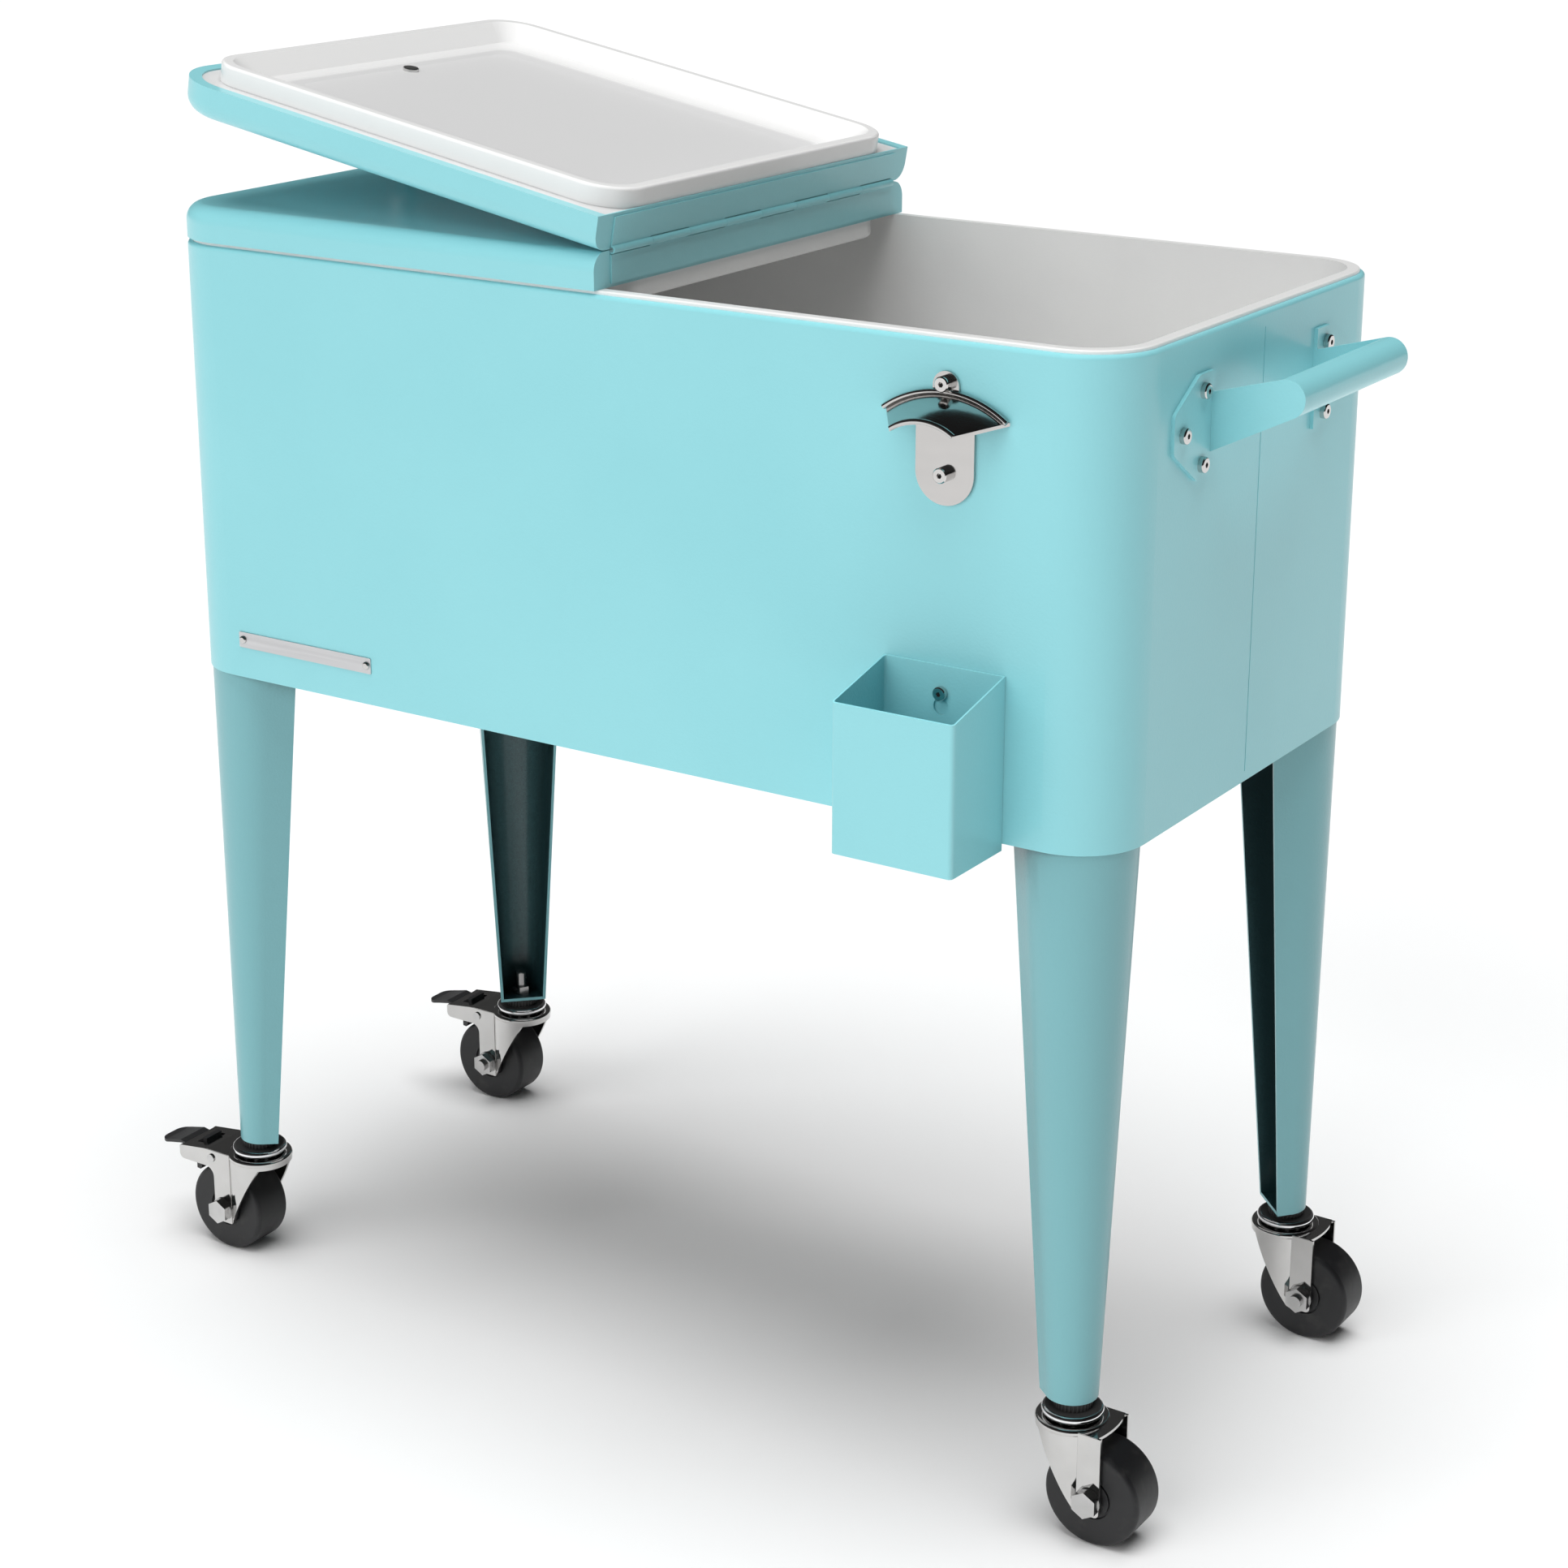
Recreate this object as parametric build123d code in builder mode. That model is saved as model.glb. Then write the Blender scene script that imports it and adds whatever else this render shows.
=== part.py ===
from build123d import *
from math import atan2, cos, degrees, radians, sin
import os

os.makedirs("parts", exist_ok=True)

# Place of the body's plan centre, so that the cart's box stands centred on the origin.
cart_x, cart_y = 2.05, 31.15

# Body: a steel box on four legs, lined with a moulded tub.
body_length, body_width = 780.0, 390.0
body_bottom, body_top = 490.0, 809.5
body_corner = 48.0
shell_sheet = 1.2
shell_roll = 3.0
shell_flange = 8.3
rim_inset, rim_thickness = 3.5, 2.5
tub_wall = 2.5
tub_mouth_inset, tub_floor_inset = 11.5, 20.0
tub_mouth_corner, tub_floor_corner = 38.5, 30.0
tub_floor = 522.0
tub_floor_round = 18.0
pan_flange = 12.0
seam_low, seam_high, seam_width, seam_depth = 497.0, 799.0, 1.0, 0.5

# Drain through the tub's floor.
drain_x, drain_y = -290.0, 60.0
drain_radius, drain_bore = 12.0, 8.0
drain_collar_radius = 18.0
drain_tail = 470.0

# Legs: tapered half-round channels that open towards the cart's middle, measured along the plan diagonal.
leg_bottom = 98.0
leg_sheet = 2.0
leg_top_profile = (21.2, 38.5, 38.9, 80.9)
leg_foot_profile = (22.4, 18.3, 19.4, 50.6)
leg_screw_u, leg_screw_v = 58.0, 17.0

# Casters: swivel axis inset from the body's corners, wheel trailing behind it. On the braked ones the fork's
# sloped cover plate has a window, and the pedal's bar stands up through it.
caster_x, caster_y = 364.0, 169.0
wheel_radius, wheel_width, wheel_edge = 35.2, 33.5, 3.5
trail = 24.0
fork_half, fork_sheet = 20.4, 2.0
fork_ring, fork_skirt = 25.5, 25.0
fork_top, fork_disc = 85.0, 5.0
fork_rear, brake_reach = 32.0, 67.6
cap_radius, cap_low, cap_high = 21.3, 86.3, 91.6
neck_radius = 12.5
ball_radius, ball_circle, ball_count = 2.4, 14.5, 12
stem_radius, stem_low, stem_high = 4.5, 75.5, 120.0
axle_radius, hex_flats, hex_face = 5.0, 17.0, 27.7
pin_t, pin_z, pin_radius = 33.8, 77.0, 2.0
plate_bend, plate_end, plate_end_z = 38.0, 66.5, 80.0
window_t, window_length, window_width, window_bar_top = 52.0, 12.0, 21.0, 85.4

# Handle on the right end.
handle_x, handle_z, handle_radius, handle_wall = 443.0, 772.2, 12.5, 2.0
arm_face, arm_sheet = 80.0, 2.5
handle_screws_at = [(92.0, 774.0), (92.0, 727.0), (119.0, 750.5)]

# Fittings on the front.
opener_x, opener_high_screw, opener_low_screw = 268.3, 783.0, 725.5
opener_sheet = 2.2
hood_reach = 32.0
catcher_low_x, catcher_high_x = 225.2, 314.0
catcher_bottom, catcher_front_top, catcher_back_top = 485.3, 586.0, 601.5
catcher_front = 259.0
catcher_gap, catcher_sheet = 0.3, 1.2
catcher_screw_x, catcher_screw_z = 268.3, 582.9
catcher_lift = 9.0
plate_x, plate_z, plate_length, plate_height = -269.0, 519.3, 126.0, 11.8
plate_rivets = (-328.2, -210.0)
screw_shank = 2.4
screw_hole = 2.5

# Lids: two alike, hinged to each other above the middle of the tub. In a lid, x runs from the hinge pin to
# the free end and z from the hinge pin out of the lid's top.
hinge_z = 836.8
lid_top, lid_skirt = -0.3, -24.8
lid_end = 1.2
lid_sheet = 1.2
lid_round = 12.0
lid_hem = 9.0
lid_open_angle = 10.15
ring_low = -37.9
ring_free, ring_half, ring_hinge = 369.2, 174.8, 2.6
ring_corner, ring_lip = 31.0, 8.0
panel_level, liner_back = -23.3, -22.4
foot_level, foot_inset = -26.0, 24.2
panel_inset_u, panel_inset_v = 41.0, 56.0
knob_u, knob_height, knob_radius, knob_dome = 322.0, 28.6, 13.2, 16.0
knob_screw_head, knob_screw = 6.0, 2.5
hinge_half, knuckle_count, knuckle_gap = 176.6, 8, 0.3
hinge_pin_radius, hinge_bore, barrel_radius, notch_radius = 1.5, 1.56, 2.7, 3.3
leaf_near, leaf_far, leaf_low = 0.1, 1.1, -22.3


def level(z):
    """A horizontal plane over the body's centre."""
    return Plane(origin=(cart_x, cart_y, z), x_dir=(1, 0, 0), z_dir=(0, 0, 1))


def facing_front(y):
    """An upright plane that faces the front, with x along the cart and y up."""
    return Plane(origin=(cart_x, cart_y + y, 0), x_dir=(1, 0, 0), z_dir=(0, -1, 0))


def facing_right(x):
    """An upright plane that faces the handle end, with x to the back and y up."""
    return Plane(origin=(cart_x + x, cart_y, 0), x_dir=(0, 1, 0), z_dir=(1, 0, 0))


def corner_level(side_x, side_y, z):
    """A horizontal plane at a sharp corner of the body, with x along the plan diagonal inwards."""
    return Plane(
        origin=(cart_x + side_x * body_length / 2, cart_y + side_y * body_width / 2, z),
        x_dir=(-side_x, -side_y, 0),
        z_dir=(0, 0, 1),
    )


def caster_level(side_x, side_y, z):
    """A horizontal plane on a caster's swivel axis, with x along its trail."""
    return Plane(
        origin=(cart_x + side_x * caster_x, cart_y + side_y * caster_y, z),
        x_dir=(side_x, 0, 0),
        z_dir=(0, 0, 1),
    )


def caster_side(side_x, side_y, y):
    """An upright plane through a caster, with x along its trail, y up and its normal along the axle."""
    return Plane(
        origin=(cart_x + side_x * caster_x, cart_y + side_y * caster_y + y, 0),
        x_dir=(side_x, 0, 0),
        z_dir=(0, -side_x, 0),
    )


def rounded_box(plan_inset, low, high, corner):
    """An upright block in the body's plan, brought in by an inset."""
    with BuildPart() as block:
        with BuildSketch(level(low)):
            RectangleRounded(body_length - 2 * plan_inset, body_width - 2 * plan_inset, corner)
        extrude(amount=high - low)
    return block.part


def tub_form(grow):
    """The tub's tapered inside, or its outside when it is grown by the wall."""
    with BuildPart() as form:
        with BuildSketch(level(body_top + rim_thickness)):
            RectangleRounded(
                body_length - 2 * (tub_mouth_inset - grow),
                body_width - 2 * (tub_mouth_inset - grow),
                tub_mouth_corner + grow,
            )
        with BuildSketch(level(tub_floor - grow)):
            RectangleRounded(
                body_length - 2 * (tub_floor_inset - grow),
                body_width - 2 * (tub_floor_inset - grow),
                tub_floor_corner + grow,
            )
        loft(ruled=True)
        fillet(form.faces().sort_by(Axis.Z)[0].edges(), tub_floor_round + grow)
    return form.part


def rounded_disc(plane, radius, height, rounding):
    """A flat disc with both rims rounded, standing on a plane."""
    with BuildPart() as disc:
        with BuildSketch(plane):
            Circle(radius)
        extrude(amount=height)
        fillet(disc.edges().filter_by(GeomType.CIRCLE), rounding)
    return disc.part


corners = {
    "front_left": (-1, -1),
    "front_right": (1, -1),
    "back_left": (-1, 1),
    "back_right": (1, 1),
}
handle_points = [(side * y, z) for side in (-1, 1) for y, z in handle_screws_at]
front_points = [
    (opener_x, opener_high_screw),
    (opener_x, opener_low_screw),
    (catcher_screw_x, catcher_screw_z),
    (plate_rivets[0], plate_z),
    (plate_rivets[1], plate_z),
]

# ---- Body ----

with BuildPart() as outer_shell:
    with BuildSketch(level(body_bottom)):
        RectangleRounded(body_length, body_width, body_corner)
    extrude(amount=body_top - body_bottom)
    fillet(outer_shell.faces().sort_by(Axis.Z)[-1].edges(), shell_roll)
    hollow = rounded_box(shell_sheet, body_bottom, body_top - shell_sheet, body_corner - shell_sheet)
    add(hollow, mode=Mode.SUBTRACT)
    add(rounded_box(shell_flange, body_bottom, body_top, body_corner - shell_flange), mode=Mode.SUBTRACT)
    with BuildSketch(facing_right(body_length / 2)):
        with Locations((0, (seam_low + seam_high) / 2)):
            Rectangle(seam_width, seam_high - seam_low)
    extrude(amount=-seam_depth, mode=Mode.SUBTRACT)
    with BuildSketch(facing_right(body_length / 2)):
        with Locations(*handle_points):
            Circle(screw_hole)
    extrude(amount=-2 * shell_sheet, mode=Mode.SUBTRACT)
    with BuildSketch(facing_front(-body_width / 2)):
        with Locations(*front_points):
            Circle(screw_hole)
    extrude(amount=-2 * shell_sheet, mode=Mode.SUBTRACT)
outer_shell.part.label = "outer_shell"
export_step(outer_shell.part, "parts/outer_shell.step")

pan_inset = shell_sheet + 0.1
with BuildPart() as bottom_pan:
    add(rounded_box(pan_inset, body_bottom, body_bottom + pan_flange, body_corner - pan_inset))
    add(
        rounded_box(
            pan_inset + shell_sheet,
            body_bottom + shell_sheet,
            body_bottom + pan_flange,
            body_corner - pan_inset - shell_sheet,
        ),
        mode=Mode.SUBTRACT,
    )
    with BuildSketch(level(body_bottom)):
        with Locations((drain_x, drain_y)):
            Circle(drain_radius + 0.3)
    extrude(amount=shell_sheet, mode=Mode.SUBTRACT)
    for side_x, side_y in corners.values():
        with BuildSketch(corner_level(side_x, side_y, body_bottom)):
            with Locations((leg_screw_u, leg_screw_v), (leg_screw_u, -leg_screw_v)):
                Circle(3.2)
        extrude(amount=shell_sheet, mode=Mode.SUBTRACT)
bottom_pan.part.label = "bottom_pan"
export_step(bottom_pan.part, "parts/bottom_pan.step")

with BuildPart() as tub_liner:
    with BuildSketch(level(body_top)):
        RectangleRounded(body_length - 2 * rim_inset, body_width - 2 * rim_inset, body_corner - rim_inset)
    extrude(amount=rim_thickness)
    fillet(tub_liner.faces().sort_by(Axis.Z)[-1].edges(), 1.2)
    add(tub_form(tub_wall))
    add(tub_form(0), mode=Mode.SUBTRACT)
    with BuildSketch(level(tub_floor)):
        with Locations((drain_x, drain_y)):
            Circle(drain_radius + 0.3)
    extrude(amount=-2 * tub_wall, mode=Mode.SUBTRACT)
tub_liner.part.label = "tub_liner"
export_step(tub_liner.part, "parts/tub_liner.step")

foam_inset = pan_inset + shell_sheet + 0.1
with BuildPart() as body_foam:
    foam_low = body_bottom + shell_sheet + 0.1
    foam_high = body_top - shell_sheet - 0.1
    add(rounded_box(foam_inset, foam_low, foam_high, body_corner - foam_inset))
    add(tub_form(tub_wall + 0.2), mode=Mode.SUBTRACT)
    with BuildSketch(level(body_bottom)):
        with Locations((drain_x, drain_y)):
            Circle(drain_radius + 0.5)
    extrude(amount=tub_floor - body_bottom, mode=Mode.SUBTRACT)
    with BuildSketch(facing_right(body_length / 2)):
        with Locations(*handle_points):
            Circle(screw_hole + 0.5)
    extrude(amount=-8.8, mode=Mode.SUBTRACT)
    with BuildSketch(facing_front(-body_width / 2)):
        with Locations(*front_points):
            Circle(screw_hole + 0.5)
    extrude(amount=-8.8, mode=Mode.SUBTRACT)
    for side_x, side_y in corners.values():
        with BuildSketch(corner_level(side_x, side_y, body_bottom)):
            with Locations((leg_screw_u, leg_screw_v), (leg_screw_u, -leg_screw_v)):
                Circle(3.4)
        extrude(amount=13, mode=Mode.SUBTRACT)
body_foam.part.label = "body_foam"
export_step(body_foam.part, "parts/body_foam.step")

# ---- Drain ----

with BuildPart() as drain_fitting:
    with BuildSketch(level(tub_floor)):
        with Locations((drain_x, drain_y)):
            Circle(drain_collar_radius)
    extrude(amount=2)
    with BuildSketch(level(drain_tail)):
        with Locations((drain_x, drain_y)):
            Circle(drain_radius)
    extrude(amount=tub_floor - drain_tail)
    with BuildSketch(level(drain_tail)):
        with Locations((drain_x, drain_y)):
            Circle(drain_bore)
    extrude(amount=tub_floor - drain_tail + 2, mode=Mode.SUBTRACT)
drain_fitting.part.label = "drain_fitting"
export_step(drain_fitting.part, "parts/drain_fitting.step")

with BuildPart() as drain_nut:
    with BuildSketch(level(body_bottom)):
        with Locations((drain_x, drain_y)):
            RegularPolygon(drain_collar_radius, 6)
            Circle(drain_radius + 0.1, mode=Mode.SUBTRACT)
    extrude(amount=-6)
drain_nut.part.label = "drain_nut"
export_step(drain_nut.part, "parts/drain_nut.step")

with BuildPart() as drain_cap:
    with BuildSketch(level(drain_tail - 3)):
        with Locations((drain_x, drain_y)):
            Circle(drain_radius + 3)
    extrude(amount=13)
    fillet(drain_cap.faces().sort_by(Axis.Z)[0].edges(), 2)
    with BuildSketch(level(drain_tail - 0.5)):
        with Locations((drain_x, drain_y)):
            Circle(drain_radius + 0.3)
    extrude(amount=11, mode=Mode.SUBTRACT)
drain_cap.part.label = "drain_cap"
export_step(drain_cap.part, "parts/drain_cap.step")

# ---- Legs ----


def leg_outline(plane, profile, shrink, overrun):
    """A half-round channel's outline: nose apex, nose radius, half opening and depth along the diagonal."""
    apex, radius, half, depth = profile
    centre = apex + radius
    with BuildSketch(plane) as outline:
        with BuildLine():
            Polyline(
                (centre, radius - shrink),
                (depth + overrun, half - shrink),
                (depth + overrun, shrink - half),
                (centre, shrink - radius),
            )
            ThreePointArc((centre, shrink - radius), (apex + shrink, 0), (centre, radius - shrink))
        make_face()
    return outline.sketch


stem_u = (body_length / 2 - caster_x) * 2 ** 0.5
for corner, (side_x, side_y) in corners.items():
    top = corner_level(side_x, side_y, body_bottom)
    foot = corner_level(side_x, side_y, leg_bottom)
    with BuildPart() as leg:
        loft(
            sections=[leg_outline(top, leg_top_profile, 0, 0), leg_outline(foot, leg_foot_profile, 0, 0)],
            ruled=True,
        )
        loft(
            sections=[
                leg_outline(top, leg_top_profile, leg_sheet, 8),
                leg_outline(foot, leg_foot_profile, leg_sheet, 8),
            ],
            ruled=True,
            mode=Mode.SUBTRACT,
        )
        extrude(leg_outline(foot, leg_foot_profile, 0, 0), amount=2.5)
        extrude(leg_outline(top, leg_top_profile, 0.6, -1), amount=-leg_sheet)
        with BuildSketch(foot):
            with Locations((stem_u, 0)):
                Circle(stem_radius + 0.1)
        extrude(amount=2.5, mode=Mode.SUBTRACT)
        with BuildSketch(top):
            with Locations((leg_screw_u, leg_screw_v), (leg_screw_u, -leg_screw_v)):
                Circle(3.2)
        extrude(amount=-leg_sheet, mode=Mode.SUBTRACT)
    leg.part.label = f"leg_{corner}"
    export_step(leg.part, f"parts/leg_{corner}.step")

with BuildPart() as leg_screws:
    for side_x, side_y in corners.values():
        with BuildSketch(corner_level(side_x, side_y, body_bottom - leg_sheet)):
            with Locations((leg_screw_u, leg_screw_v), (leg_screw_u, -leg_screw_v)):
                Circle(5.5)
        extrude(amount=-3.5)
        with BuildSketch(corner_level(side_x, side_y, body_bottom - leg_sheet)):
            with Locations((leg_screw_u, leg_screw_v), (leg_screw_u, -leg_screw_v)):
                Circle(3)
        extrude(amount=14)
leg_screws.part.label = "leg_screws"
export_step(leg_screws.part, "parts/leg_screws.step")

# ---- Casters ----

race_z = (fork_top + cap_low) / 2
for corner, (side_x, side_y) in corners.items():
    braked = side_x < 0
    reach = brake_reach if braked else fork_rear

    with BuildPart() as stem:
        with BuildSketch(caster_level(side_x, side_y, stem_low)):
            Circle(stem_radius)
        extrude(amount=stem_high - stem_low)
        chamfer(stem.faces().sort_by(Axis.Z)[-1].edges(), 0.8)
        with BuildSketch(caster_level(side_x, side_y, stem_low)):
            Circle(8)
        extrude(amount=3.5)
        with BuildSketch(caster_level(side_x, side_y, leg_bottom + 2.5)):
            RegularPolygon(8, 6)
        extrude(amount=7)
    stem.part.label = f"caster_{corner}_stem"
    export_step(stem.part, f"parts/caster_{corner}_stem.step")

    with BuildPart() as cap:
        add(rounded_disc(caster_level(side_x, side_y, cap_low), cap_radius, cap_high - cap_low, 2.4))
        with BuildSketch(caster_level(side_x, side_y, cap_high)):
            Circle(neck_radius)
        extrude(amount=leg_bottom - cap_high)
        with BuildSketch(caster_side(side_x, side_y, 0)):
            with Locations((ball_circle, race_z)):
                Circle(ball_radius + 0.35)
        revolve(axis=Axis(caster_level(side_x, side_y, 0).origin, (0, 0, 1)), mode=Mode.SUBTRACT)
        with BuildSketch(caster_level(side_x, side_y, cap_low)):
            Circle(stem_radius + 0.05)
        extrude(amount=leg_bottom - cap_low, mode=Mode.SUBTRACT)
    cap.part.label = f"caster_{corner}_cap"
    export_step(cap.part, f"parts/caster_{corner}_cap.step")

    with BuildPart() as fork:
        with BuildSketch(caster_level(side_x, side_y, 20)):
            Circle(fork_skirt)
            with Locations(((15 + reach) / 2, 0)):
                Rectangle(reach - 15, 2 * fork_half)
            Circle(fork_skirt - fork_sheet, mode=Mode.SUBTRACT)
            with Locations((reach / 2 + 10, 0)):
                Rectangle(reach, 2 * (fork_half - fork_sheet), mode=Mode.SUBTRACT)
        extrude(amount=fork_top - 1.4 - 20)
        with BuildSketch(caster_side(side_x, side_y, 0)):
            with BuildLine():
                if braked:
                    FilletPolyline(
                        (-26, fork_top), (plate_bend, fork_top - 1), (reach, plate_end_z), (reach, 69),
                        (fork_rear, 69), (fork_rear, 24), (14.2, 24), (-15, 78), (-26, 78),
                        radius=(0.5, 2.5, 1.2, 4.5, 8, 3.5, 3.5, 1.5, 0.5), close=True,
                    )
                else:
                    FilletPolyline(
                        (-26, fork_top), (reach, fork_top - 1), (reach, 24), (14.2, 24), (-15, 78), (-26, 78),
                        radius=(0.5, 0.8, 3.5, 3.5, 1.5, 0.5), close=True,
                    )
            make_face()
        extrude(amount=30, both=True, mode=Mode.INTERSECT)
        if braked:
            with BuildSketch(caster_side(side_x, side_y, 0)):
                with BuildLine():
                    Polyline(
                        (10, fork_top - 1), (plate_bend, fork_top - 1), (plate_end, plate_end_z),
                        (plate_end, plate_end_z - fork_sheet), (plate_bend, fork_top - 1 - fork_sheet),
                        (10, fork_top - 1 - fork_sheet), (10, fork_top - 1),
                    )
                make_face()
            extrude(amount=fork_half - 0.3, both=True)
            with BuildSketch(caster_level(side_x, side_y, 70)):
                with Locations((window_t, 0)):
                    RectangleRounded(window_length, window_width, 1.5)
            extrude(amount=20, mode=Mode.SUBTRACT)
        else:
            with BuildSketch(caster_level(side_x, side_y, fork_top - 1 - fork_sheet)):
                with BuildLine():
                    Polyline((29.4, 20.2), (0, 20.2), (0, -20.2), (29.4, -20.2))
                    ThreePointArc((29.4, -20.2), (32.4, 0), (29.4, 20.2))
                make_face()
            extrude(amount=fork_sheet)
        add(rounded_disc(caster_level(side_x, side_y, fork_top - fork_disc), fork_ring, fork_disc, 2.3))
        with BuildSketch(caster_side(side_x, side_y, 0)):
            with Locations((ball_circle, race_z)):
                Circle(ball_radius + 0.35)
        revolve(axis=Axis(caster_level(side_x, side_y, 0).origin, (0, 0, 1)), mode=Mode.SUBTRACT)
        with BuildSketch(caster_level(side_x, side_y, 60)):
            Circle(stem_radius + 0.08)
        extrude(amount=fork_top - 60, mode=Mode.SUBTRACT)
        with BuildSketch(caster_side(side_x, side_y, 0)):
            with Locations((trail, wheel_radius)):
                Circle(axle_radius + 0.1)
            if braked:
                with Locations((pin_t, pin_z)):
                    Circle(pin_radius + 0.05)
        extrude(amount=30, both=True, mode=Mode.SUBTRACT)
    fork.part.label = f"caster_{corner}_fork"
    export_step(fork.part, f"parts/caster_{corner}_fork.step")

    with BuildPart() as wheel:
        with BuildSketch(caster_side(side_x, side_y, 0)):
            with Locations((trail, wheel_radius)):
                Circle(wheel_radius)
        extrude(amount=wheel_width / 2, both=True)
        fillet(wheel.edges().filter_by(GeomType.CIRCLE), wheel_edge)
        with BuildSketch(caster_side(side_x, side_y, 0)):
            with Locations((trail, wheel_radius)):
                Circle(15)
                Circle(13.5, mode=Mode.SUBTRACT)
        extrude(amount=wheel_width, both=True, mode=Mode.SUBTRACT)
        with BuildSketch(caster_side(side_x, side_y, 0)):
            with Locations((trail, wheel_radius)):
                Circle(16)
        extrude(amount=wheel_width / 2 - 1.5, both=True)
        with BuildSketch(caster_side(side_x, side_y, 0)):
            with Locations((trail, wheel_radius)):
                Circle(9)
        extrude(amount=18.1, both=True)
        with BuildSketch(caster_side(side_x, side_y, 0)):
            with Locations((trail, wheel_radius)):
                Circle(axle_radius + 0.06)
        extrude(amount=20, both=True, mode=Mode.SUBTRACT)
    wheel.part.label = f"caster_{corner}_wheel"
    export_step(wheel.part, f"parts/caster_{corner}_wheel.step")

    head = Plane(
        origin=(cart_x + side_x * (caster_x + trail), cart_y + side_y * (caster_y + fork_half), wheel_radius),
        x_dir=(0, 0, 1),
        z_dir=(0, side_y, 0),
    )
    tail = Plane(
        origin=(cart_x + side_x * (caster_x + trail), cart_y + side_y * (caster_y - fork_half), wheel_radius),
        x_dir=(0, 0, 1),
        z_dir=(0, -side_y, 0),
    )
    with BuildPart() as axle:
        with BuildSketch(head):
            Circle(axle_radius)
        extrude(amount=-(2 * fork_half + 10.5))
        with BuildSketch(head):
            Circle(9.5)
        extrude(amount=1.4)
        with BuildSketch(head.offset(1.4)):
            RegularPolygon(hex_flats / 2, 6, major_radius=False)
        extrude(amount=hex_face - fork_half - 1.4)
        with BuildSketch(tail):
            Circle(9.5)
            Circle(axle_radius + 0.05, mode=Mode.SUBTRACT)
        extrude(amount=1.4)
        with BuildSketch(tail.offset(1.4)):
            RegularPolygon(hex_flats / 2, 6, major_radius=False)
            Circle(axle_radius + 0.05, mode=Mode.SUBTRACT)
        extrude(amount=hex_face - fork_half - 1.4)
    axle.part.label = f"caster_{corner}_axle"
    export_step(axle.part, f"parts/caster_{corner}_axle.step")

    if braked:
        with BuildPart() as brake_pedal:
            with BuildSketch(caster_side(side_x, side_y, 0)):
                with BuildLine():
                    Polyline(
                        (pin_t, 81), (38, 80.8), (66, 76.4), (68, 79.4), (73, 80.2), (82, 78), (89, 76.4),
                        (95.6, 75.8), (95.6, 73.6), (89, 74.2), (82, 75.8), (71, 78), (67, 74.2), (52, 76),
                        (52, 63), (48.5, 62.6), (47, 64), (46, 74), (39, 74), (pin_t, 73), (pin_t, 81),
                    )
                make_face()
                with Locations((pin_t, pin_z)):
                    Circle(4.2)
            extrude(amount=17.8, both=True)
            with BuildSketch(caster_level(side_x, side_y, 50)):
                with Locations((46, 0)):
                    Rectangle(40, 36)
                with Locations((76, 0)):
                    RectangleRounded(39.2, 28, 9)
            extrude(amount=50, mode=Mode.INTERSECT)
            with BuildSketch(caster_level(side_x, side_y, 76)):
                with Locations((window_t - 1, 0)):
                    Rectangle(4, window_width - 4)
            extrude(amount=window_bar_top - 76)
            with BuildSketch(caster_side(side_x, side_y, 0)):
                with Locations((pin_t, pin_z)):
                    Circle(pin_radius + 0.06)
            extrude(amount=30, both=True, mode=Mode.SUBTRACT)
        brake_pedal.part.label = f"caster_{corner}_brake_pedal"
        export_step(brake_pedal.part, f"parts/caster_{corner}_brake_pedal.step")

        with BuildPart() as brake_pin:
            with BuildSketch(caster_side(side_x, side_y, 0)):
                with Locations((pin_t, pin_z)):
                    Circle(pin_radius)
            extrude(amount=fork_half + 0.1, both=True)
            for side in (-1, 1):
                with BuildSketch(caster_side(side_x, side_y, 0).offset(side * (fork_half + 0.1))):
                    with Locations((pin_t, pin_z)):
                        Circle(pin_radius + 1.5)
                extrude(amount=side * 1.2)
        brake_pin.part.label = f"caster_{corner}_brake_pin"
        export_step(brake_pin.part, f"parts/caster_{corner}_brake_pin.step")

with BuildPart() as caster_balls:
    for side_x, side_y in corners.values():
        with Locations(caster_level(side_x, side_y, race_z)):
            with PolarLocations(ball_circle, ball_count):
                Sphere(ball_radius)
caster_balls.part.label = "caster_balls"
export_step(caster_balls.part, "parts/caster_balls.step")

# ---- Handle ----

with BuildPart() as handle_tube:
    with BuildSketch(facing_front(0)):
        with Locations((handle_x, handle_z)):
            Circle(handle_radius)
            Circle(handle_radius - handle_wall, mode=Mode.SUBTRACT)
    extrude(amount=arm_face - arm_sheet, both=True)
handle_tube.part.label = "handle_tube"
export_step(handle_tube.part, "parts/handle_tube.step")

for place, side in (("front", -1), ("back", 1)):
    with BuildPart() as arm:
        with BuildSketch(facing_front(side * (arm_face - arm_sheet))):
            with BuildLine():
                Polyline((439.7, 784.3), (body_length / 2, 770.4), (body_length / 2, 731.7), (448.6, 761.0))
                ThreePointArc((448.6, 761.0), (handle_x + handle_radius, handle_z), (439.7, 784.3))
            make_face()
        extrude(amount=-side * arm_sheet)
        with BuildSketch(facing_right(body_length / 2)) as flange:
            with BuildLine():
                inner = side * (arm_face - arm_sheet)
                Polyline(
                    (inner, 717), (side * 97, 717), (side * 131, 740), (side * 131, 765),
                    (side * 98, 785), (inner, 785), (inner, 717),
                )
            make_face()
            fillet(flange.vertices().sort_by(Axis.X)[::side][-4:], 5)
            with Locations(*[(side * y, z) for y, z in handle_screws_at]):
                Circle(screw_hole, mode=Mode.SUBTRACT)
        extrude(amount=arm_sheet)
    arm.part.label = f"handle_{place}_arm"
    export_step(arm.part, f"parts/handle_{place}_arm.step")

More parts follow.
